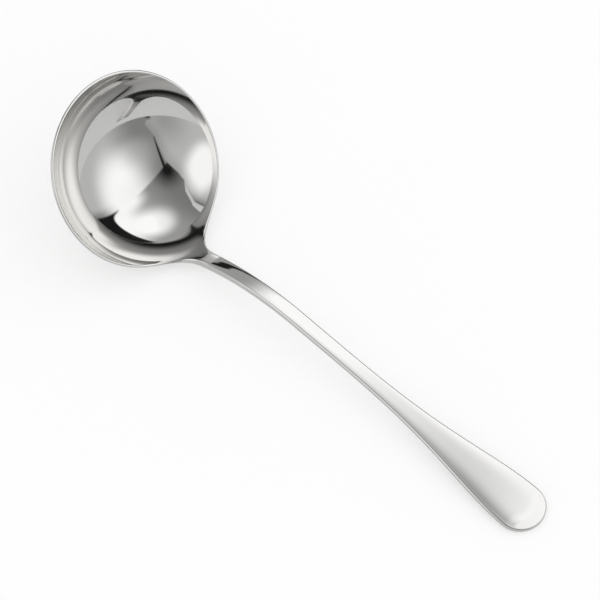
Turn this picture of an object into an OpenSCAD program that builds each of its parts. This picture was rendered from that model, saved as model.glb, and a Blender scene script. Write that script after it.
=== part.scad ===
// Soup ladle: a round pressed bowl whose rim rises into a short neck, and a long
// flat handle welded to the neck and ground flush.
// The shape is worked out in the rim's frame, with the rim level and its centre at
// the origin, then tipped to lie on a table on the bowl's underside and the tip.

/* [Bowl] */
// Diameter of the bowl across the outside of its rim
bowl_d = 92; // [70:1:110]
// Thickness of the bowl's sheet
wall = 1.3; // [0.8:0.1:2]
// Slope of the wall and of the neck where they meet the rim, in degrees from level
rim_slope = 64.5; // [58:0.5:74]
// Height of the bowl's round form as a share of its half width
roundness = 0.9; // [0.7:0.05:1]

/* [Neck] */
// How far up the neck the curve of the bowl's wall goes on past the rim
rise_len = 3.8; // [2:0.1:6]
// Length of the neck, from the rim to the weld, along its middle
neck_len = 16.5; // [13:0.5:24]
// How far the neck spreads into the rim on each side
neck_spread = 23; // [12:1:25]

/* [Handle] */
// Length from the rim to the tip, along the edges of the top
handle_len = 217.5; // [180:0.5:280]
// Width of the narrow part
neck_w = 7.8; // [6:0.1:12]
// Width at the widest place, near the tip
tip_w = 25.4; // [18:0.1:32]
// Thickness of the sides at the weld
neck_t = 3.9; // [3:0.1:5.5]
// Thickness of the sides at the tip
tip_t = 2.3; // [2.1:0.1:3.5]
// Radius of the bend that lays the handle back
bend_r = 127; // [100:0.5:180]
// Slope of the straight part, in degrees from the rim's plane
handle_slope = 39.5; // [28:0.1:50]
// Distance from the rim, along the middle, where the handle starts to widen
widen_start = 66; // [45:1:90]
// Length of the rounded end
tip_round = 11.5; // [8:0.5:14]
// Radius along the edges
edge_r = 0.9; // [0.4:0.1:1]
// How far the middle of the top stands above its edges at the widest place
crown = 0.8; // [0:0.1:2]

/* [Hidden] */

// How finely the smooth skins are divided
bowl_rows = 14;
rim_steps = 50;
neck_rows = 10;
flat_steps = 8;
straight_rows = 34;
tip_rows = 9;
corner_steps = 3;
corner_turn = 90 / corner_steps;

// How late the handle widens: higher keeps it narrow for longer
widen_power = 2.1;
// How early the handle thins behind the weld: higher thins it sooner
thin_power = 3;
// How flat the crown is in its middle: higher keeps it flat nearer to the edges
crown_power = 3.5;
// Where the rounded end stops, in degrees round its quarter oval
tip_turn = 80;
half_turn = 180;
search_steps = 40;
steel = [0.88, 0.875, 0.86];

// The inside of the bowl is part of an oval turned about the rim's axis
rim_out_r = bowl_d / 2;
rim_in_r = rim_out_r - wall / sin(rim_slope);
oval_z = pow(roundness, 2) * rim_in_r / tan(rim_slope);
oval_a = sqrt(pow(rim_in_r, 2) + pow(oval_z / roundness, 2));
oval_b = roundness * oval_a;
rim_turn = acos(oval_z / oval_b);
// The radius of the wall's curve where it meets the rim
rise_r = pow(oval_a * oval_b, 2)
    * pow(pow(rim_in_r / pow(oval_a, 2), 2) + pow(oval_z / pow(oval_b, 2), 2), 1.5);

// The rounded end starts where the widening stops
widen_end = handle_len - tip_round;

function smooth(x) = x * x * (3 - 2 * x);
function unit(v) = v / norm(v);
function clamp01(x) = min(1, max(0, x));

// The edges of the neck's and handle's top, as X and Z at a distance s from the rim.
// They steepen with the curve of the wall, bend back, and run straight to the tip.
function turned_by(length, radius) = length / radius * half_turn / PI;
steepest = rim_slope + turned_by(rise_len, rise_r);
bend_end = rise_len + bend_r * (steepest - handle_slope) * PI / half_turn;
function rise_slope(s) = rim_slope + turned_by(min(s, rise_len), rise_r);
function bend_slope(s) = max(handle_slope, steepest - turned_by(max(0, s - rise_len), bend_r));
function slope_at(s) = rise_slope(s) + bend_slope(s) - steepest;
function path_x(s) = rim_in_r + rise_r * (sin(rise_slope(s)) - sin(rim_slope))
    + bend_r * (sin(steepest) - sin(bend_slope(s)))
    + max(0, s - bend_end) * cos(handle_slope);
function path_z(s) = rise_r * (cos(rim_slope) - cos(rise_slope(s)))
    + bend_r * (cos(bend_slope(s)) - cos(steepest))
    + max(0, s - bend_end) * sin(handle_slope);
// The direction from the top of the handle to its underside
function down_at(s) = [sin(slope_at(s)), 0, -cos(slope_at(s))];

// A cross-section is a row of places across the width, from one edge to the other,
// each with how far the rounded edge brings it below the skin
function across(half_w, r) = concat(
    [for (i = [0 : corner_steps - 1]) -half_w + r - r * cos(i * corner_turn)],
    [for (i = [0 : flat_steps]) (half_w - r) * (2 * i / flat_steps - 1)],
    [for (i = [corner_steps - 1 : -1 : 0]) half_w - r + r * cos(i * corner_turn)]);
function corner_drop(r) = concat(
    [for (i = [0 : corner_steps - 1]) r - r * sin(i * corner_turn)],
    [for (i = [0 : flat_steps]) 0],
    [for (i = [corner_steps - 1 : -1 : 0]) r - r * sin(i * corner_turn)]);
columns = flat_steps + 1 + 2 * corner_steps;
// The crown is in proportion to the width, and runs out round the rounded end
function end_share(s) = clamp01((s - widen_end) / tip_round);
function crown_rise(y, half_w, s) = crown * 2 * half_w / tip_w
    * max(0, 1 - pow(norm([y / half_w, end_share(s)]), crown_power));

// The handle's half width and thickness at a distance s from the rim
function widening(s) =
    let (x = clamp01((s - widen_start) / (widen_end - widen_start)))
    (1 - cos(half_turn * pow(x, widen_power))) / 2;
function half_w_at(s) = (neck_w + (tip_w - neck_w) * widening(s)) / 2;
function thick_at(s) = tip_t + (neck_t - tip_t)
    * pow(1 - clamp01((s - neck_len) / (handle_len - neck_len)), thin_power);

// Rings of points are skinned in turn, and the first and last are closed flat.
// A ring runs across the top from left to right and back along the underside.
function ring_faces(rings, n) = concat(
    [for (k = [0 : rings - 2], i = [0 : n - 1])
        let (a = k * n + i, b = k * n + (i + 1) % n) [a, b, b + n]],
    [for (k = [0 : rings - 2], i = [0 : n - 1])
        let (a = k * n + i, b = k * n + (i + 1) % n) [a, b + n, a + n]]);

// One cross-section of the handle at a distance s, for the half width given
function handle_ring(s, half_w) =
    let (
        t = thick_at(s), down = down_at(s), r = min(edge_r, half_w / 2),
        y = across(half_w, r), drop = corner_drop(r),
        mid = [path_x(s), 0, path_z(s)])
    concat(
        [for (i = [0 : columns - 1])
            mid + [0, y[i], 0] + (drop[i] - crown_rise(y[i], half_w_at(s), s)) * down],
        [for (i = [columns - 1 : -1 : 0]) mid + [0, y[i], 0] + (t - drop[i]) * down]);

handle_rows = concat(
    [for (k = [0 : straight_rows])
        let (s = neck_len + (widen_end - neck_len) * k / straight_rows) [s, half_w_at(s)]],
    [for (k = [1 : tip_rows])
        let (q = tip_turn * k / tip_rows)
        [widen_end + tip_round * sin(q) / sin(tip_turn), half_w_at(widen_end) * cos(q)]]);

// The bowl's skins: columns run round the rim, starting with those of the neck
neck_y = across(neck_w / 2 + neck_spread, edge_r);
neck_turn = asin((neck_w / 2 + neck_spread) / rim_in_r);
rim_turns = concat(
    [for (y = neck_y) asin(y / rim_in_r)],
    [for (i = [1 : rim_steps - 1]) neck_turn + (2 * half_turn - 2 * neck_turn) * i / rim_steps]);
rim_columns = len(rim_turns);

function around(r, z, turn) = [r * cos(turn), r * sin(turn), z];
function inner_r(q) = oval_a * sin(q);
function inner_z(q) = oval_z - oval_b * cos(q);
function outward(q) = unit([sin(q) / oval_a, -cos(q) / oval_b]);
inner_skin = [for (k = [1 : bowl_rows], turn = rim_turns)
    let (q = rim_turn * k / bowl_rows) around(inner_r(q), inner_z(q), turn)];
outer_skin = [for (k = [1 : bowl_rows], turn = rim_turns)
    let (q = rim_turn * k / bowl_rows, out = wall * outward(q))
    k == bowl_rows ? around(rim_out_r, 0, turn)
        : around(inner_r(q) + out[0], inner_z(q) + out[1], turn)];

// The neck's rows rise from the rim to the weld. Its edges follow a parabola that
// leaves the rim along it and meets the weld along the handle.
function neck_row(u) =
    let (
        s = neck_len * u * u, grow = smooth(u * u),
        half_w = neck_w / 2 + neck_spread * pow(1 - u, 2),
        y = across(half_w, edge_r), drop = corner_drop(edge_r),
        mid = [path_x(s), 0, path_z(s)])
    [for (i = [0 : columns - 1])
        let (
            turn_r = path_x(s), round_x = sqrt(pow(turn_r, 2) - pow(y[i], 2)),
            rim_out = (rim_out_r - rim_in_r) / turn_r * [round_x, y[i], 0],
            through = (1 - grow) * rim_out + grow * thick_at(s) * down_at(s),
            top = mid + [-(turn_r - round_x) * (1 - grow), y[i], 0],
            edge = grow * drop[i] * unit(through),
            arch = grow * crown_rise(neck_w / 2 * y[i] / half_w, neck_w / 2, s) * unit(through))
        [top + edge - arch, top + through - edge]];
neck_skin = [for (k = [1 : neck_rows]) neck_row(k / neck_rows)];
neck_top = [for (row = neck_skin, p = row) p[0]];
neck_under = [for (row = neck_skin, p = row) p[1]];

bowl_points = concat(
    [[0, 0, inner_z(0)], [0, 0, inner_z(0) - wall]],
    inner_skin, outer_skin, neck_top, neck_under);
inner_at = 2;
outer_at = inner_at + len(inner_skin);
top_at = outer_at + len(outer_skin);
under_at = top_at + len(neck_top);
rim_row = (bowl_rows - 1) * rim_columns;

// Point numbers of the neck's rows, where row 0 is the rim
function top_point(k, i) = k == 0 ? inner_at + rim_row + i : top_at + (k - 1) * columns + i;
function under_point(k, i) = k == 0 ? outer_at + rim_row + i
    : under_at + (k - 1) * columns + i;
function quad(a, b, c, d) = [[a, c, b], [a, d, c]];
function next_column(i) = (i + 1) % rim_columns;
bowl_quads = concat(
    [for (k = [0 : bowl_rows - 2], i = [0 : rim_columns - 1])
        let (a = inner_at + k * rim_columns, b = a + rim_columns, j = next_column(i))
        quad(a + i, b + i, b + j, a + j)],
    [for (k = [0 : bowl_rows - 2], i = [0 : rim_columns - 1])
        let (a = outer_at + k * rim_columns, b = a + rim_columns, j = next_column(i))
        quad(a + i, a + j, b + j, b + i)],
    [for (i = [columns - 1 : rim_columns - 1])
        let (a = inner_at + rim_row, b = outer_at + rim_row, j = next_column(i))
        quad(a + i, b + i, b + j, a + j)],
    [for (k = [0 : neck_rows - 1], i = [0 : columns - 2])
        quad(top_point(k, i), top_point(k + 1, i), top_point(k + 1, i + 1), top_point(k, i + 1))],
    [for (k = [0 : neck_rows - 1], i = [0 : columns - 2])
        quad(under_point(k, i), under_point(k, i + 1), under_point(k + 1, i + 1),
            under_point(k + 1, i))],
    [for (k = [0 : neck_rows - 1])
        quad(top_point(k, 0), under_point(k, 0), under_point(k + 1, 0), top_point(k + 1, 0))],
    [for (k = [0 : neck_rows - 1])
        let (i = columns - 1)
        quad(top_point(k, i), top_point(k + 1, i), under_point(k + 1, i), under_point(k, i))],
    [for (i = [0 : columns - 2])
        quad(top_point(neck_rows, i), under_point(neck_rows, i),
            under_point(neck_rows, i + 1), top_point(neck_rows, i + 1))]);
bowl_faces = concat(
    [for (pair = bowl_quads, face = pair) face],
    [for (i = [0 : rim_columns - 1]) [0, inner_at + next_column(i), inner_at + i]],
    [for (i = [0 : rim_columns - 1]) [1, outer_at + i, outer_at + next_column(i)]]);

// At rest the bowl's underside and the lower edge of the tip touch the table. The
// tilt that brings both to one level is found by halving.
tip_top = [path_x(handle_len), path_z(handle_len)];
tip_foot = tip_top + tip_t * [sin(handle_slope), -cos(handle_slope)];
function bowl_low(tilt) = oval_z * cos(tilt) - wall
    - sqrt(pow(oval_a * sin(tilt), 2) + pow(oval_b * cos(tilt), 2));
function tip_low(tilt) = tip_foot[1] * cos(tilt) - tip_foot[0] * sin(tilt);
function level_tilt(low, high, steps) =
    let (mid = (low + high) / 2)
    steps == 0 ? mid
        : tip_low(mid) > bowl_low(mid) ? level_tilt(mid, high, steps - 1)
        : level_tilt(low, mid, steps - 1);
rest_tilt = level_tilt(0, half_turn / 2, search_steps);

// The origin is on the table, halfway along the resting ladle
function along(p) = p[0] * cos(rest_tilt) + p[1] * sin(rest_tilt);
bowl_end = oval_z * sin(rest_tilt) - wall
    - sqrt(pow(oval_a * cos(rest_tilt), 2) + pow(oval_b * sin(rest_tilt), 2));
tip_end = max(along(tip_top), along(tip_foot));

module at_rest() {
    translate([-(bowl_end + tip_end) / 2, 0, -bowl_low(rest_tilt)])
        rotate([0, rest_tilt, 0])
            children();
}

// Pressed bowl with its rim land and the neck that rises from it
module bowl() {
    color(steel)
        at_rest()
            polyhedron(points = bowl_points, faces = bowl_faces);
}

// Handle from the weld to the rounded tip
module handle() {
    n = 2 * columns;
    rows = len(handle_rows);
    color(steel)
        at_rest()
            polyhedron(
                points = [for (row = handle_rows, p = handle_ring(row[0], row[1])) p],
                faces = concat(
                    ring_faces(rows, n),
                    [[for (i = [n - 1 : -1 : 0]) i]],
                    [[for (i = [0 : n - 1]) (rows - 1) * n + i]]));
}

bowl();
handle();
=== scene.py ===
"""Soup ladle of mirror-polished steel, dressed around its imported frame.

The two steel skins repeat the part's own formulas, at a pitch fine enough for clean
reflections and with every edge rounded. Shapes are worked out in millimetres in the
rim's frame, with the rim level and its centre at the origin, and are then tipped into
the row frame and turned into metres.
"""

import math

import bmesh
import bpy
import numpy as np
from mathutils import Matrix, Vector


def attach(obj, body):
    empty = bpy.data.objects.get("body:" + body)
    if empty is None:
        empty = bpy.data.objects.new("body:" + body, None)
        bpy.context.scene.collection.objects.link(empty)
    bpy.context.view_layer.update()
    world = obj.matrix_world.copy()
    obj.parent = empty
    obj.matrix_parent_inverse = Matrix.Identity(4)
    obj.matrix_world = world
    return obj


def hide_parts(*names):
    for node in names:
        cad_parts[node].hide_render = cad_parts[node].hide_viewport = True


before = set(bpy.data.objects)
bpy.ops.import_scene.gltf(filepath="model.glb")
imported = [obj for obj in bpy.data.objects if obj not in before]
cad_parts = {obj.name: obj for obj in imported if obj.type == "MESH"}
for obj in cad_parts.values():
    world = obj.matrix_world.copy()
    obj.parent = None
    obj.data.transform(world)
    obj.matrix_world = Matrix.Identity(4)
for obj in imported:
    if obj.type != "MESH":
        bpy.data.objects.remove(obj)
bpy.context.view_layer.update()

MM = 0.001

# The bowl, in millimetres and degrees
BOWL_D = 92.0
WALL = 1.3
RIM_SLOPE = math.radians(64.5)
ROUNDNESS = 0.9

# The neck
RISE_LEN = 3.8
NECK_LEN = 16.5
NECK_SPREAD = 23.0

# The handle
HANDLE_LEN = 217.5
NECK_W = 7.8
TIP_W = 25.4
NECK_T = 3.9
TIP_T = 2.3
BEND_R = 127.0
HANDLE_SLOPE = math.radians(39.5)
WIDEN_START = 66.0
TIP_ROUND = 11.5
CROWN = 0.8
WIDEN_POWER = 2.1
THIN_POWER = 3.0
CROWN_POWER = 3.5

# Radii along the edges, at the rim and on the handle
RIM_EDGE_R = 0.55
EDGE_R = 0.9

# How finely the skins are divided, and the step over which slopes are measured
BOWL_ROWS = 90
RIM_STATIONS = 240
NECK_STATIONS = 44
NECK_PATCH_ROWS = 26
FLAT_COLUMNS = 16
SIDE_STATIONS = 170
TIP_STATIONS = 40
CORNER_STEPS = 6
STEP = 1e-3

# The halvings that settle how far the resting ladle is tipped
TILT_HALVINGS = 40

# The steel's colour, its roughness between cloth marks and on them, and its shallow relief in metres
STEEL_COLOR = (0.88, 0.875, 0.86, 1)
STEEL_ROUGHNESS = (0.03, 0.06)
CLOTH_MARK_SCALE = 70
CLOTH_MARK_DETAIL = 3
CLOTH_MARK_SPREAD = (0.35, 0.7)
WAVE_SCALE = 60
WAVE_DETAIL = 1
WAVE_DEPTH = 0.00001
LINE_STRETCH = (1, 12, 12)
LINE_SCALE = 150
LINE_DETAIL = 2
LINE_DEPTH = 0.0000004

# The studio's light: a white panel at its brightest, and the black gaps between panels
PANEL_LEVEL = 1.08
GAP_LEVEL = 0.012

# The studio is laid out in a flat drawing of the sky, with the zenith in its middle and the
# horizon at a distance of 1. A patch is its middle and its size, mostly with the light it adds.
# A ramp is the two places that a change lies between, mostly with its values at both

# The upright edge between the first two panels, and the low edge over the third
UPRIGHT_U = 0.215
UPRIGHT_LEAN = -0.10
UPRIGHT_BLUR = 0.012
LOW_EDGE_LEFT = (-0.235, 0, -0.166, -0.259)
LOW_EDGE_CORNER = (0, 0.1, 0, -0.013)
LOW_EDGE_RIGHT = (0.27, 0.55, 0, -0.098)
LOW_EDGE_END = (0.78, 1.2, 0, -0.46)
LOW_EDGE_BLUR = 0.008

# The first panel: its light, the white strip beside the second panel, and the dark corner
FIRST_LIGHT = (-0.14, 0.14, 0.20, 0.34)
FIRST_PATCHES = (((-0.10, 0.19), (0.24, 0.26), 0.58), ((0.03, 0.50), (0.42, 0.50), 0.73))
PATCH_FLAT = (0, 0.9)
WHITE_LIGHT = 1.05
WHITE_ACROSS = (-0.12, -0.02)
WHITE_ALONG = (0.02, 0.22)
DARK_CORNER = ((0.19, -0.215), (0.24, 0.20))
CORNER_SPREAD = 1.02
CORNER_LOSS = 0.97

# The first panel's hem over the low edge, and the dark line under it
HEM_WIDE = (-0.34, -0.20, 0.030, 0)
HEM_POINT = (-0.08, 0, 0.042, 0)
HEM_BLUR = 0.006
HEM_LIGHT = (0, 0.035, 0.28, 0.40)
HEM_END = (-0.02, 0, 1, 0)
HEM_LINE_ACROSS = (0.005, 0.020, 1, 0)
HEM_LINE_ALONG = (-0.26, -0.10, 0.38, 0)

# The black gap past the first panel's top and side, and the narrow band that it shrinks to
GAP_TOP = 0.506
GAP_LEAN = 0.5
GAP_LOW_END = (-0.60, -0.25, -0.045, 0)
GAP_SIDE = (0.30, 0.44, 0.030, -0.005)
GAP_ROUND = 0.30
GAP_EDGE = (-0.008, 0.010, 1, 0)
BAND_START = (-0.32, -0.25)
BAND_FOOT = (-0.075, -0.055)
BAND_END = (0.70, 0.85)

# The second panel, and its darker side beside the gap
SECOND_LIGHT = (-0.25, 0.35, 0.23, 0.50)
SECOND_PATCHES = (((0.50, -0.01), (0.35, 0.45), 0.16), ((0.20, 0.25), (0.81, 0.50), 0.55))
SECOND_SHADE_ACROSS = (0, 0.10, 1, 0)
SECOND_SHADE_ALONG = (0.35, 0.7)
SECOND_SHADE_LOSS = 0.55

# The third panel, darker towards the low edge and under the hem
THIRD_LIGHT = 0.51
THIRD_BRIGHT = ((-0.14, -0.51), (0.37, 0.48))
THIRD_FLAT = (0, 0.7)
THIRD_GAIN = 0.52
THIRD_DARK = ((0.64, -0.65), (0.56, 0.54))
THIRD_LOSS = 0.17
THIRD_SHADE = (-0.14, 0.02, 1, 0.74)
HEM_SHADE_ACROSS = (-0.06, 0)
HEM_SHADE_ALONG = (-0.25, -0.15, -0.3, 0)

# The black seam out of the corner, from end to end, and the dark foot at the horizon
BLACK_SEAM = ((0.205, -0.210), (0.545, -0.353))
SEAM_TAPER = 0.008
SEAM_EDGE = (0.008, 0.022, 1, 0)
SEAM_FADE = (0.6, 1, -1, -0.7)
DARK_FOOT = ((0.87, -0.48), (0.10, 0.07))
FOOT_LOSS = 0.85

# The light tent that the steel mirrors, in metres, and the even light on the floor
TENT_CENTRE = (-0.1, 0, 0)
TENT_R = 0.7
TENT_FINENESS = 5
SOFT_LIGHT = 0.6

# The floor, and how much white the camera and the metal see on top of what lights it
FLOOR_REACH = 3.0
FLOOR_COLOR = (0.9, 0.9, 0.9, 1)
BACKDROP_GLOW = 0.45
METAL_BACKDROP_GLOW = 0.05

# The photograph's view: the camera's direction and distance from what it looks at, and its lens
VIEW_AZIMUTH = math.radians(36.32)
VIEW_ELEVATION = math.radians(54.965)
VIEW_ROLL = math.radians(-6.345)
VIEW_DISTANCE = 1.5
VIEW_TARGET = (-0.0169, 0.0171, 0)
VIEW_REACH = 20
LENS_MM = 193.95
SENSOR_MM = 36

# How often light is followed from mirror to mirror, and in all
MIRROR_BOUNCES = 12
ALL_BOUNCES = 16

# The rim's radii, and the oval that the bowl's inside is turned from
RIM_OUT = BOWL_D / 2
RIM_IN = RIM_OUT - WALL / math.sin(RIM_SLOPE)
LAND = RIM_OUT - RIM_IN
OVAL_Z = ROUNDNESS ** 2 * RIM_IN / math.tan(RIM_SLOPE)
OVAL_A = math.hypot(RIM_IN, OVAL_Z / ROUNDNESS)
OVAL_B = ROUNDNESS * OVAL_A
RIM_TURN = math.acos(OVAL_Z / OVAL_B)
WIDEN_END = HANDLE_LEN - TIP_ROUND

# The wall's curve goes on past the rim, and the bend back starts from the steepest place
RISE_R = (OVAL_A * OVAL_B) ** 2 * math.hypot(RIM_IN / OVAL_A ** 2, OVAL_Z / OVAL_B ** 2) ** 3
STEEPEST = RIM_SLOPE + RISE_LEN / RISE_R
BEND_END = RISE_LEN + BEND_R * (STEEPEST - HANDLE_SLOPE)


def smooth(x):
    """Eases from 0 to 1 with no slope at either end."""
    x = np.clip(x, 0, 1)
    return x * x * (3 - 2 * x)


def unit(v):
    """Each vector at length 1."""
    return v / np.linalg.norm(v, axis=-1, keepdims=True)


def vector(x, y, z):
    """Points from three coordinates, each a number or an array."""
    return np.stack(np.broadcast_arrays(x, y, z), axis=-1).astype(float)


def rise_slope(s):
    """Slope while the wall's own curve goes on past the rim."""
    return RIM_SLOPE + np.minimum(s, RISE_LEN) / RISE_R


def bend_slope(s):
    """Slope while the handle bends back from its steepest place."""
    return np.maximum(HANDLE_SLOPE, STEEPEST - np.maximum(0, s - RISE_LEN) / BEND_R)


def slope_at(s):
    """Slope of the neck's and handle's middle line, at a distance s from the rim."""
    return rise_slope(s) + bend_slope(s) - STEEPEST


def path_x(s):
    """How far out the middle line has come, at a distance s from the rim."""
    rise = RISE_R * (np.sin(rise_slope(s)) - math.sin(RIM_SLOPE))
    bend = BEND_R * (math.sin(STEEPEST) - np.sin(bend_slope(s)))
    return RIM_IN + rise + bend + np.maximum(0, s - BEND_END) * math.cos(HANDLE_SLOPE)


def path_z(s):
    """How high the middle line has come, at a distance s from the rim."""
    rise = RISE_R * (math.cos(RIM_SLOPE) - np.cos(rise_slope(s)))
    bend = BEND_R * (np.cos(bend_slope(s)) - math.cos(STEEPEST))
    return rise + bend + np.maximum(0, s - BEND_END) * math.sin(HANDLE_SLOPE)


def down_at(s):
    """Direction from the top of the handle to its underside."""
    return vector(np.sin(slope_at(s)), 0, -np.cos(slope_at(s)))


def thick_at(s):
    """Thickness of the handle at its sides."""
    gone = np.clip((s - NECK_LEN) / (HANDLE_LEN - NECK_LEN), 0, 1)
    return TIP_T + (NECK_T - TIP_T) * (1 - gone) ** THIN_POWER


def handle_half_w(s):
    """Half width of the handle without its rounded end."""
    x = np.clip((s - WIDEN_START) / (WIDEN_END - WIDEN_START), 0, 1)
    return (NECK_W + (TIP_W - NECK_W) * (1 - np.cos(math.pi * x ** WIDEN_POWER)) / 2) / 2


def neck_half_w(s):
    """Half width of the neck, wide at the rim and narrow at the weld."""
    gone = np.sqrt(np.clip(s / NECK_LEN, 0, 1))
    return NECK_W / 2 + NECK_SPREAD * (1 - gone) ** 2


def flat_share(s):
    """How far the neck has flattened: 0 at the rim, where it is round, and 1 at the weld."""
    return smooth(s / NECK_LEN)


def through(y, s):
    """From the top skin of the neck or handle to the skin under it."""
    round_x = np.sqrt(path_x(s) ** 2 - y ** 2)
    land = LAND / path_x(s)
    flat = flat_share(s)[..., None]
    return (1 - flat) * vector(land * round_x, land * y, 0) + flat * thick_at(s)[..., None] * down_at(s)


def base(y, s):
    """The neck's and handle's top below its crown. At the rim it turns with the bowl."""
    round_x = np.sqrt(path_x(s) ** 2 - y ** 2)
    return vector(path_x(s) - (path_x(s) - round_x) * (1 - flat_share(s)), y, path_z(s))


def top_skin(y, s):
    """The neck's and handle's top with its crown, which runs out round the rounded end."""
    half_w = np.where(s < NECK_LEN, neck_half_w(s), handle_half_w(s))
    end = np.clip((s - WIDEN_END) / TIP_ROUND, 0, 1)
    rise = np.maximum(0, 1 - np.hypot(y / half_w, end) ** CROWN_POWER)
    rise = flat_share(s) * CROWN * 2 * handle_half_w(s) / TIP_W * rise
    return base(y, s) - rise[..., None] * unit(through(y, s))


def under_skin(y, s):
    """The neck's and handle's underside."""
    return base(y, s) + through(y, s)


def slopes(skin, y, s):
    """How a skin's point moves with y and with s."""
    across = (skin(y + STEP, s) - skin(y - STEP, s)) / (2 * STEP)
    along = (skin(y, s + STEP) - skin(y, s - STEP)) / (2 * STEP)
    return across, along


def normals_of(skin, y, s):
    """A skin's directions straight out of the steel."""
    across, along = slopes(skin, y, s)
    up = unit(np.cross(along, across))
    return up if skin is top_skin else -up


def dot(a, b):
    """Dot products of two rows of vectors."""
    return np.sum(a * b, axis=-1, keepdims=True)


def round_corner(corner, first, second, radius):
    """Points and normals round a corner, from its side along first to its side along second."""
    half = np.arccos(np.clip(dot(first, second), -1, 1)) / 2
    centre = corner + unit(first + second) * radius / np.sin(half)
    reach = radius / np.tan(half)
    start = unit(corner + first * reach - centre)
    end = unit(corner + second * reach - centre)
    turn = math.pi - 2 * half
    rows = []
    for k in range(CORNER_STEPS + 1):
        t = k / CORNER_STEPS
        rows.append((start * np.sin((1 - t) * turn) + end * np.sin(t * turn)) / np.sin(turn))
    rows = np.stack(rows, axis=1)
    return centre[:, None] + rows * radius[:, None], rows, reach


def edge_strip(top, under, top_in, under_in, along, radius):
    """The rounded edge at a row of stations: its points and normals, and how far in it
    starts on the top and on the underside.
    """
    side = under - top
    side = unit(side - dot(side, along) * along)
    points_a, normals_a, reach_a = round_corner(top, top_in, side, radius)
    points_b, normals_b, reach_b = round_corner(under, -side, under_in, radius)
    points = np.concatenate([points_a, points_b], 1)
    normals = np.concatenate([normals_a, normals_b], 1)
    return points, normals, reach_a, reach_b


def free_edge(y, s, radius):
    """The rounded edge of the neck or handle along the line of places y and s, and where each skin stops."""
    top, under = top_skin(y, s), under_skin(y, s)
    dy, ds = np.gradient(y), np.gradient(s)
    inward = []
    for skin in (top_skin, under_skin):
        across, along = slopes(skin, y, s)
        edge = unit(across * dy[:, None] + along * ds[:, None])
        inward.append((across, along, edge, unit(np.cross(edge, unit(np.cross(along, across))))))
    points, normals, reach_a, reach_b = edge_strip(
        top, under, inward[0][3], inward[1][3], inward[0][2], radius[:, None])
    stops = []
    for (across, along, _, into), reach in zip(inward, (reach_a, reach_b)):
        moved = [np.linalg.lstsq(np.stack([a, b], 1), v, rcond=None)[0]
                 for a, b, v in zip(across, along, into * reach)]
        moved = np.array(moved)
        stops.append((y + moved[:, 0], s + moved[:, 1]))
    return points, normals, stops[0], stops[1]


class Shell:
    """A closed skin in the making: points, their normals, and faces."""

    def __init__(self):
        self.points = []
        self.normals = []
        self.faces = []
        self.count = 0

    def add(self, points, normals):
        """Adds points of any grid shape and returns their numbers in that shape."""
        shape = points.shape[:-1]
        self.points.append(points.reshape(-1, 3))
        self.normals.append(np.broadcast_to(normals, points.shape).reshape(-1, 3))
        numbers = np.arange(self.count, self.count + int(np.prod(shape))).reshape(shape)
        self.count += numbers.size
        return numbers

    def skin(self, grid):
        """Faces between the neighbours of a grid of point numbers. Repeated points make triangles."""
        a, b, c, d = grid[:-1, :-1], grid[:-1, 1:], grid[1:, 1:], grid[1:, :-1]
        for face in np.stack([a, b, c, d], -1).reshape(-1, 4).tolist():
            corners = [n for i, n in enumerate(face) if n != face[i - 1]]
            if len(set(corners)) > 2:
                self.faces.append(corners)

    def cap(self, ring):
        """One flat face, such as the weld's."""
        self.faces.append(list(ring))

    def places(self, numbers):
        """The points that have the numbers given."""
        return np.concatenate(self.points)[numbers]

    def build(self, name):
        """The mesh object, tipped into the row frame, with the normals of the true surface."""
        points = np.concatenate(self.points)
        normals = np.concatenate(self.normals)
        faces = [self.facing_out(face, points, normals) for face in self.faces]
        mesh = bpy.data.meshes.new(name)
        mesh.from_pydata((to_row(points) * MM).tolist(), [], faces)
        mesh.validate()
        mesh.shade_smooth()
        mesh.normals_split_custom_set_from_vertices(turned(unit(normals)).tolist())
        obj = bpy.data.objects.new(name, mesh)
        bpy.context.scene.collection.objects.link(obj)
        return obj

    @staticmethod
    def facing_out(face, points, normals):
        """The face, turned round if it looks into the steel."""
        ring = points[face]
        area = np.cross(ring, np.roll(ring, -1, axis=0)).sum(axis=0)
        return face if area @ normals[face].sum(axis=0) > 0 else face[::-1]


def bowl_low(tilt):
    """Lowest place of the bowl's underside when the ladle is tipped."""
    return OVAL_Z * math.cos(tilt) - WALL - math.hypot(OVAL_A * math.sin(tilt), OVAL_B * math.cos(tilt))


# The ladle lies on the bowl's underside and the lower edge of its tip
TIP_TOP = (float(path_x(HANDLE_LEN)), float(path_z(HANDLE_LEN)))
TIP_FOOT = (TIP_TOP[0] + TIP_T * math.sin(HANDLE_SLOPE), TIP_TOP[1] - TIP_T * math.cos(HANDLE_SLOPE))


def level_tilt():
    """The tilt at which the tip comes down to the level of the bowl's underside."""
    low, high = 0.0, math.pi / 2
    for _ in range(TILT_HALVINGS):
        tilt = (low + high) / 2
        if TIP_FOOT[1] * math.cos(tilt) - TIP_FOOT[0] * math.sin(tilt) > bowl_low(tilt):
            low = tilt
        else:
            high = tilt
    return tilt


REST_TILT = level_tilt()
BOWL_END = OVAL_Z * math.sin(REST_TILT) - WALL - math.hypot(
    OVAL_A * math.cos(REST_TILT), OVAL_B * math.sin(REST_TILT))
TIP_END = max(x * math.cos(REST_TILT) + z * math.sin(REST_TILT) for x, z in (TIP_TOP, TIP_FOOT))
SHIFT = np.array([-(BOWL_END + TIP_END) / 2, 0, -bowl_low(REST_TILT)])
TIP_OVER = np.array(Matrix.Rotation(REST_TILT, 3, "Y"))

# What turns the ladle's right side into its left one
MIRROR = np.array([1, -1, 1])


def turned(v):
    """Directions tipped into the row frame."""
    return v @ TIP_OVER.T


def to_row(points):
    """Points tipped and moved into the row frame, still in millimetres."""
    return turned(points) + SHIFT


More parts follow.
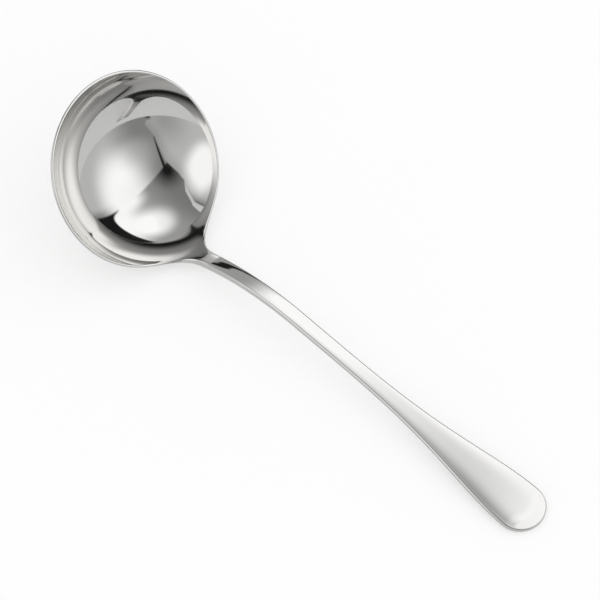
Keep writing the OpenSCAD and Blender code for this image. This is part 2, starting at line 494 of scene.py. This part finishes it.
def around(r, z, turn):
    """Points round the bowl's axis."""
    return vector(r * np.cos(turn), r * np.sin(turn), z)


def make_bowl():
    """The bowl with its rounded rim and the neck, as one closed skin."""
    shell = Shell()

    # Stations up the right edge of the neck, from the rim to the weld, then mirrored
    s = NECK_LEN * np.linspace(0, 1, NECK_STATIONS + 1) ** 2
    y = neck_half_w(s)
    radius = RIM_EDGE_R + (EDGE_R - RIM_EDGE_R) * flat_share(s)
    points, normals, top_stop, under_stop = free_edge(y, s, radius)
    right = shell.add(points, normals)
    left = shell.add(points * MIRROR, normals * MIRROR)

    # Stations round the rest of the rim, as seen from above, from the left of the neck to its right
    start = math.asin(y[0] / RIM_IN)
    turn = -np.linspace(start, 2 * math.pi - start, RIM_STATIONS + 1)[1:-1]
    wall_down = -around(math.cos(RIM_SLOPE), math.sin(RIM_SLOPE), turn)
    along = vector(np.sin(turn), -np.cos(turn), 0)
    points, normals, _, _ = edge_strip(
        around(RIM_IN, 0, turn), around(RIM_OUT, 0, turn), wall_down, wall_down, along,
        np.full((len(turn), 1), RIM_EDGE_R))
    rim = shell.add(points, normals)
    shell.skin(np.concatenate([left[::-1], rim, right]))

    weld = []
    for skin, stop, place in ((top_skin, top_stop, 0), (under_skin, under_stop, -1)):
        patch = neck_patch(shell, skin, stop, left[:, place], right[:, place])
        weld.append(patch[-1, NECK_STATIONS:-NECK_STATIONS])
        ring = np.concatenate([patch[0], rim[:, place]])
        bowl_skin(shell, ring, inside=skin is top_skin)
    shell.cap([*weld[0], *left[-1, 1:-1], *weld[1][::-1], *right[-1, -2:0:-1]])
    return shell.build("bowl_and_neck")


def neck_patch(shell, skin, stop, left, right):
    """One side of the neck, in columns from its right edge to its left one."""
    middle = np.linspace(1, -1, FLAT_COLUMNS + 1)[1:-1]
    column_y = np.concatenate([stop[0], stop[0][-1] * middle, -stop[0][::-1]])
    column_s = np.concatenate([stop[1], np.full(len(middle), stop[1][-1]), stop[1][::-1]])
    low = stop[1][0]
    share = np.linspace(0, 1, NECK_PATCH_ROWS + 1)[:, None]
    patch_s = low + (column_s - low) * share
    patch_y = np.broadcast_to(column_y, patch_s.shape)
    patch = shell.add(skin(patch_y, patch_s), normals_of(skin, patch_y, patch_s))
    patch[-1, :len(right)] = right
    patch[-1, -len(left):] = left[::-1]
    patch[:, 0] = right[0]
    patch[:, -1] = left[0]
    shell.skin(patch)
    return patch


def bowl_skin(shell, ring, inside):
    """The bowl's inside or outside, from its pole up to a ring of points along the rim."""
    offset, facing = (0, -1) if inside else (WALL, 1)
    places = shell.places(ring)
    turns = np.arctan2(places[:, 1], places[:, 0])
    q = RIM_TURN * np.arange(1, BOWL_ROWS)[:, None] / BOWL_ROWS
    outward = unit(around(np.sin(q) / OVAL_A, -np.cos(q) / OVAL_B, turns))
    rows = around(OVAL_A * np.sin(q), OVAL_Z - OVAL_B * np.cos(q), turns) + offset * outward
    body = shell.add(rows, facing * outward)
    pole = shell.add(vector(0, 0, OVAL_Z - OVAL_B - offset)[None], vector(0, 0, -facing)[None])
    grid = np.concatenate([np.repeat(pole, len(ring))[None], body, ring[None]])
    shell.skin(np.concatenate([grid, grid[:, :1]], axis=1))


def make_handle():
    """The handle from the weld to its rounded end, as one closed skin."""
    shell = Shell()
    side = np.linspace(NECK_LEN, WIDEN_END, SIDE_STATIONS + 1)
    q = np.linspace(0, math.pi / 2, TIP_STATIONS + 1)[1:]
    s = np.concatenate([side, WIDEN_END + TIP_ROUND * np.sin(q)])
    y = np.concatenate([handle_half_w(side), TIP_W / 2 * np.cos(q)])
    points, normals, top_stop, under_stop = free_edge(y, s, np.full(len(s), EDGE_R))
    right = shell.add(points, normals)
    left = shell.add(points * MIRROR, normals * MIRROR)
    left[-1] = right[-1]
    shell.skin(right)
    shell.skin(left)
    weld = []
    for skin, stop, place in ((top_skin, top_stop, 0), (under_skin, under_stop, -1)):
        across = np.linspace(1, -1, FLAT_COLUMNS + 1)
        row_y = stop[0][:, None] * across
        row_s = np.broadcast_to(stop[1][:, None], row_y.shape)
        grid = shell.add(skin(row_y, row_s), normals_of(skin, row_y, row_s))
        grid[:, 0] = right[:, place]
        grid[:, -1] = left[:, place]
        grid[-1] = right[-1, place]
        shell.skin(grid)
        weld.append(grid[0])
    shell.cap([*weld[0], *left[0, 1:-1], *weld[1][::-1], *right[0, -2:0:-1]])
    return shell.build("handle_bar")


def polished_steel():
    """Mirror-polished steel with faint polishing lines, cloth marks and the pressing's slight waves."""
    mat = bpy.data.materials.new("polished_steel")
    mat.use_nodes = True
    tree = mat.node_tree
    shader = tree.nodes["Principled BSDF"]
    shader.inputs["Base Color"].default_value = STEEL_COLOR
    shader.inputs["Metallic"].default_value = 1

    place = tree.nodes.new("ShaderNodeTexCoord").outputs["Object"]
    waves = noise(tree, place, WAVE_SCALE, WAVE_DETAIL)
    marks = noise(tree, place, CLOTH_MARK_SCALE, CLOTH_MARK_DETAIL)
    rough = Field(tree, marks).slide(*CLOTH_MARK_SPREAD, *STEEL_ROUGHNESS)
    tree.links.new(rough.socket, shader.inputs["Roughness"])

    stretched = tree.nodes.new("ShaderNodeMapping")
    stretched.inputs["Scale"].default_value = LINE_STRETCH
    tree.links.new(place, stretched.inputs["Vector"])
    lines = noise(tree, stretched.outputs["Vector"], LINE_SCALE, LINE_DETAIL)
    wavy = bump(tree, waves, WAVE_DEPTH)
    fine = bump(tree, lines, LINE_DEPTH, wavy)
    tree.links.new(fine, shader.inputs["Normal"])
    return mat


def noise(tree, place, scale, detail):
    """Soft noise from 0 to 1."""
    node = tree.nodes.new("ShaderNodeTexNoise")
    node.inputs["Scale"].default_value = scale
    node.inputs["Detail"].default_value = detail
    tree.links.new(place, node.inputs["Vector"])
    return node.outputs["Fac"]


def bump(tree, height, depth, under=None):
    """Shallow relief, depth metres high, on top of the relief under it."""
    node = tree.nodes.new("ShaderNodeBump")
    node.inputs["Strength"].default_value = 1
    node.inputs["Distance"].default_value = depth
    tree.links.new(height, node.inputs["Height"])
    if under:
        tree.links.new(under, node.inputs["Normal"])
    return node.outputs["Normal"]


class Field:
    """A number that varies from place to place, worked out by a chain of nodes."""

    def __init__(self, tree, socket):
        self.tree = tree
        self.socket = socket

    def math(self, operation, *others):
        """A Math node of this field and of other fields or numbers."""
        node = self.tree.nodes.new("ShaderNodeMath")
        node.operation = operation
        for port, value in zip(node.inputs, (self, *others)):
            if isinstance(value, Field):
                self.tree.links.new(value.socket, port)
            else:
                port.default_value = value
        return Field(self.tree, node.outputs[0])

    def __add__(self, other):
        return self.math("ADD", other)

    def __sub__(self, other):
        return self.math("SUBTRACT", other)

    def __mul__(self, other):
        return self.math("MULTIPLY", other)

    def between(self, low, high, at_low, at_high, kind):
        """A Map Range node of the kind given, which holds its ends."""
        node = self.tree.nodes.new("ShaderNodeMapRange")
        node.interpolation_type = kind
        for port, value in zip(node.inputs[1:5], (low, high, at_low, at_high)):
            port.default_value = value
        self.tree.links.new(self.socket, node.inputs[0])
        return Field(self.tree, node.outputs[0])

    def slide(self, low, high, at_low=0, at_high=1):
        """Goes straight from one value to another between low and high, and stays there."""
        return self.between(low, high, at_low, at_high, "LINEAR")

    def ease(self, low, high, at_low=0, at_high=1):
        """Goes softly from one value to another between low and high, and stays there."""
        return self.between(low, high, at_low, at_high, "SMOOTHSTEP")

    def mixed(self, other, share):
        """This field where share is 0, and the other where it is 1."""
        return (self * -1 + other) * share + self


def make_floor():
    """A pale table that the camera sees as white, apart from the ladle's shadow."""
    mesh = bpy.data.meshes.new("floor")
    r = FLOOR_REACH
    mesh.from_pydata([(-r, -r, 0), (r, -r, 0), (r, r, 0), (-r, r, 0)], [], [(0, 1, 2, 3)])
    obj = bpy.data.objects.new("floor", mesh)
    bpy.context.scene.collection.objects.link(obj)
    mat = bpy.data.materials.new("floor")
    mat.use_nodes = True
    tree = mat.node_tree
    shader = tree.nodes["Principled BSDF"]
    shader.inputs["Base Color"].default_value = FLOOR_COLOR
    shader.inputs["Roughness"].default_value = 1
    shader.inputs["Specular IOR Level"].default_value = 0
    shader.inputs["Emission Color"].default_value = (1, 1, 1, 1)
    path = tree.nodes.new("ShaderNodeLightPath").outputs
    seen = (Field(tree, path["Is Camera Ray"]) * BACKDROP_GLOW
            + Field(tree, path["Is Transmission Ray"]) * BACKDROP_GLOW
            + Field(tree, path["Is Glossy Ray"]) * METAL_BACKDROP_GLOW)
    tree.links.new(seen.socket, shader.inputs["Emission Strength"])
    mesh.materials.append(mat)


def make_camera():
    """The photograph's own view: a long lens, high up at the bowl's end of the handle's left."""
    right = Vector((math.cos(VIEW_AZIMUTH), math.sin(VIEW_AZIMUTH), 0))
    back = Vector((math.cos(VIEW_ELEVATION) * math.sin(VIEW_AZIMUTH),
                   -math.cos(VIEW_ELEVATION) * math.cos(VIEW_AZIMUTH),
                   math.sin(VIEW_ELEVATION)))
    turn = Matrix((right, back.cross(right), back)).transposed() @ Matrix.Rotation(-VIEW_ROLL, 3, "Z")
    data = bpy.data.cameras.new("camera")
    data.sensor_width = SENSOR_MM
    data.lens = LENS_MM
    data.clip_end = VIEW_REACH
    camera = bpy.data.objects.new("camera", data)
    camera.matrix_world = Matrix.Translation(Vector(VIEW_TARGET) + back * VIEW_DISTANCE) @ turn.to_4x4()
    bpy.context.scene.collection.objects.link(camera)
    bpy.context.scene.camera = camera


class Dome:
    """The studio overhead, drawn flat: the zenith in the middle and the horizon at a distance of 1."""

    # The height over the nadir, on a dome of radius 1, below which the drawing stops growing
    LEAST_HEIGHT = 0.05

    def __init__(self, tree):
        self.tree = tree
        place = tree.nodes.new("ShaderNodeTexCoord").outputs["Object"]
        direction = self.vector_math("NORMALIZE", place, (0, 0, 0))
        height = self.split(direction)[2]
        flat = self.vector_math("MULTIPLY", direction, (1, 1, 0))
        shrink = (height + 1).math("MAXIMUM", self.LEAST_HEIGHT).math("POWER", -1)
        self.point = self.scaled(flat, shrink)
        self.u, self.v, _ = self.split(self.point)
        self.out = self.length(self.point)

    def split(self, socket):
        """The three coordinates of a vector, as fields."""
        node = self.tree.nodes.new("ShaderNodeSeparateXYZ")
        self.tree.links.new(socket, node.inputs[0])
        return [Field(self.tree, port) for port in node.outputs]

    def fill(self, port, value):
        """Gives a vector port a fixed value or the value of a socket."""
        if isinstance(value, (tuple, Vector)):
            port.default_value = value
        else:
            self.tree.links.new(value, port)

    def vector_math(self, operation, first, second, output="Vector"):
        """A Vector Math node of two vectors."""
        node = self.tree.nodes.new("ShaderNodeVectorMath")
        node.operation = operation
        self.fill(node.inputs[0], first)
        self.fill(node.inputs[1], second)
        return node.outputs[output]

    def scaled(self, value, share):
        """A vector made longer or shorter by a field."""
        node = self.tree.nodes.new("ShaderNodeVectorMath")
        node.operation = "SCALE"
        self.fill(node.inputs[0], value)
        self.tree.links.new(share.socket, node.inputs["Scale"])
        return node.outputs["Vector"]

    def length(self, socket):
        """The length of a vector, as a field."""
        node = self.tree.nodes.new("ShaderNodeVectorMath")
        node.operation = "LENGTH"
        self.tree.links.new(socket, node.inputs[0])
        return Field(self.tree, node.outputs["Value"])

    def glow(self, middle, size):
        """A soft oval: 1 in its middle and 0 from its edge on."""
        node = self.tree.nodes.new("ShaderNodeMapping")
        node.vector_type = "TEXTURE"
        node.inputs["Location"].default_value = (*middle, 0)
        node.inputs["Scale"].default_value = (*size, 1)
        self.tree.links.new(self.point, node.inputs["Vector"])
        return self.length(node.outputs["Vector"]).ease(0, 1, 1, 0)

    def patched(self, panel, patches):
        """A panel with its bright patches, each with a broad flat middle."""
        for middle, size, light in patches:
            panel = panel + self.glow(middle, size).ease(*PATCH_FLAT) * light
        return panel

    def seam(self, start, end):
        """How far along a seam from start to end, and how far from it."""
        reach = (Vector(end) - Vector(start)).to_3d()
        apart = self.vector_math("SUBTRACT", self.point, (*start, 0))
        along = self.vector_math("DOT_PRODUCT", apart, reach / reach.length_squared, "Value")
        along = Field(self.tree, along).slide(0, 1)
        return along, self.length(self.vector_math("SUBTRACT", apart, self.scaled(reach, along)))


def first_panel(dome, past, over):
    """The panel with two bright patches, a dark corner, a bright lower hem and the black gap past its top."""
    u, v = dome.u, dome.v
    light = dome.patched(v.ease(*FIRST_LIGHT), FIRST_PATCHES)

    # White beside the second panel, and black in the corner where all three meet
    light = light.mixed(WHITE_LIGHT, past.ease(*WHITE_ACROSS) * v.ease(*WHITE_ALONG))
    corner = (dome.glow(*DARK_CORNER) * CORNER_SPREAD).math("MINIMUM", 1)
    light = light * (corner * -CORNER_LOSS + 1)

    # The hem widens away from the corner, and a dark line parts it from the third panel
    hem_width = u.slide(*HEM_WIDE) + u.slide(*HEM_POINT)
    hem = (over - hem_width).ease(-HEM_BLUR, HEM_BLUR, 1, 0)
    light = light + over.ease(*HEM_LIGHT) * hem * u.slide(*HEM_END)
    light = light - over.ease(*HEM_LINE_ACROSS) * u.slide(*HEM_LINE_ALONG)

    # The gap runs along the panel's top and turns down its side. At low u it is a narrow band,
    # but black all the way down near the horizon
    top = u * GAP_LEAN + u.slide(*GAP_LOW_END) - v + GAP_TOP
    side = v.ease(*GAP_SIDE) - past
    inside = top.math("SMOOTH_MIN", side, GAP_ROUND)
    reach = u.ease(*BAND_START).math("MAXIMUM", inside.ease(*BAND_FOOT))
    reach = reach.math("MAXIMUM", dome.out.ease(*BAND_END))
    return light.mixed(GAP_LEVEL, inside.ease(*GAP_EDGE) * reach)


def second_panel(dome, past):
    """The panel past the upright edge, darker beside the gap."""
    light = dome.patched(dome.v.ease(*SECOND_LIGHT), SECOND_PATCHES)
    shade = past.ease(*SECOND_SHADE_ACROSS) * dome.v.ease(*SECOND_SHADE_ALONG)
    return light * (shade * -SECOND_SHADE_LOSS + 1)


def third_panel(dome, over):
    """The panel under the low edge, darker along that edge and most so where the hem is widest."""
    bright = dome.glow(*THIRD_BRIGHT).ease(*THIRD_FLAT) * THIRD_GAIN
    light = bright + dome.glow(*THIRD_DARK) * -THIRD_LOSS + THIRD_LIGHT
    light = light * over.ease(*THIRD_SHADE)
    return light * (over.ease(*HEM_SHADE_ACROSS) * dome.u.slide(*HEM_SHADE_ALONG) + 1)


def studio_light(dome):
    """Three white panels that meet in a dark corner, and the black lines between them."""
    u, v = dome.u, dome.v

    # How far a place lies past the upright edge between panels, and how far over the low one
    past = u - (v * UPRIGHT_LEAN + UPRIGHT_U)
    low_edge = (u.slide(*LOW_EDGE_LEFT) + u.ease(*LOW_EDGE_CORNER)
                + u.slide(*LOW_EDGE_RIGHT) + u.slide(*LOW_EDGE_END))
    over = v - low_edge

    light = first_panel(dome, past, over)
    light = light.mixed(second_panel(dome, past), past.ease(-UPRIGHT_BLUR, UPRIGHT_BLUR))
    light = light.mixed(third_panel(dome, over), over.ease(-LOW_EDGE_BLUR, LOW_EDGE_BLUR, 1, 0))
    light = light.math("MINIMUM", PANEL_LEVEL)

    # The black seam out of the corner narrows and fades, and one foot at the horizon is dark
    along, apart = dome.seam(*BLACK_SEAM)
    seam = (apart + along * SEAM_TAPER).ease(*SEAM_EDGE)
    light = light * (seam * along.slide(*SEAM_FADE) + 1)
    light = light * (dome.glow(*DARK_FOOT) * -FOOT_LOSS + 1)
    return light.math("MAXIMUM", GAP_LEVEL)


def make_tent():
    """The light tent round the bowl, which only the steel sees."""
    mesh = bpy.data.meshes.new("tent")
    form = bmesh.new()
    bmesh.ops.create_icosphere(form, subdivisions=TENT_FINENESS, radius=TENT_R)
    form.to_mesh(mesh)
    form.free()
    obj = bpy.data.objects.new("tent", mesh)
    obj.location = TENT_CENTRE
    obj.visible_camera = False
    obj.visible_diffuse = False
    obj.visible_transmission = False
    obj.visible_volume_scatter = False
    obj.visible_shadow = False
    bpy.context.scene.collection.objects.link(obj)
    mat = bpy.data.materials.new("tent")
    mat.use_nodes = True
    mat.cycles.emission_sampling = "NONE"
    tree = mat.node_tree
    tree.nodes.remove(tree.nodes["Principled BSDF"])
    glow = tree.nodes.new("ShaderNodeEmission")
    tree.links.new(studio_light(Dome(tree)).socket, glow.inputs["Strength"])
    tree.links.new(glow.outputs[0], tree.nodes["Material Output"].inputs["Surface"])
    mesh.materials.append(mat)


def make_world():
    """Even soft light for the floor, and white for all that looks past the tent."""
    world = bpy.data.worlds.new("studio")
    bpy.context.scene.world = world
    world.use_nodes = True
    world.cycles.sampling_method = "NONE"
    tree = world.node_tree
    path = tree.nodes.new("ShaderNodeLightPath").outputs
    lights = Field(tree, path["Is Diffuse Ray"]) * (SOFT_LIGHT - 1) + 1
    tree.links.new(lights.socket, tree.nodes["Background"].inputs["Strength"])
    tree.nodes["Background"].inputs["Color"].default_value = (1, 1, 1, 1)


steel = polished_steel()
bowl = make_bowl()
handle = make_handle()
for piece, node in ((bowl, "bowl"), (handle, "handle")):
    piece.data.materials.append(steel)
    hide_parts(node)
    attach(piece, "root")
make_floor()
make_tent()
make_camera()
make_world()

scene = bpy.context.scene
scene.view_settings.view_transform = "Standard"
scene.cycles.glossy_bounces = MIRROR_BOUNCES
scene.cycles.max_bounces = ALL_BOUNCES
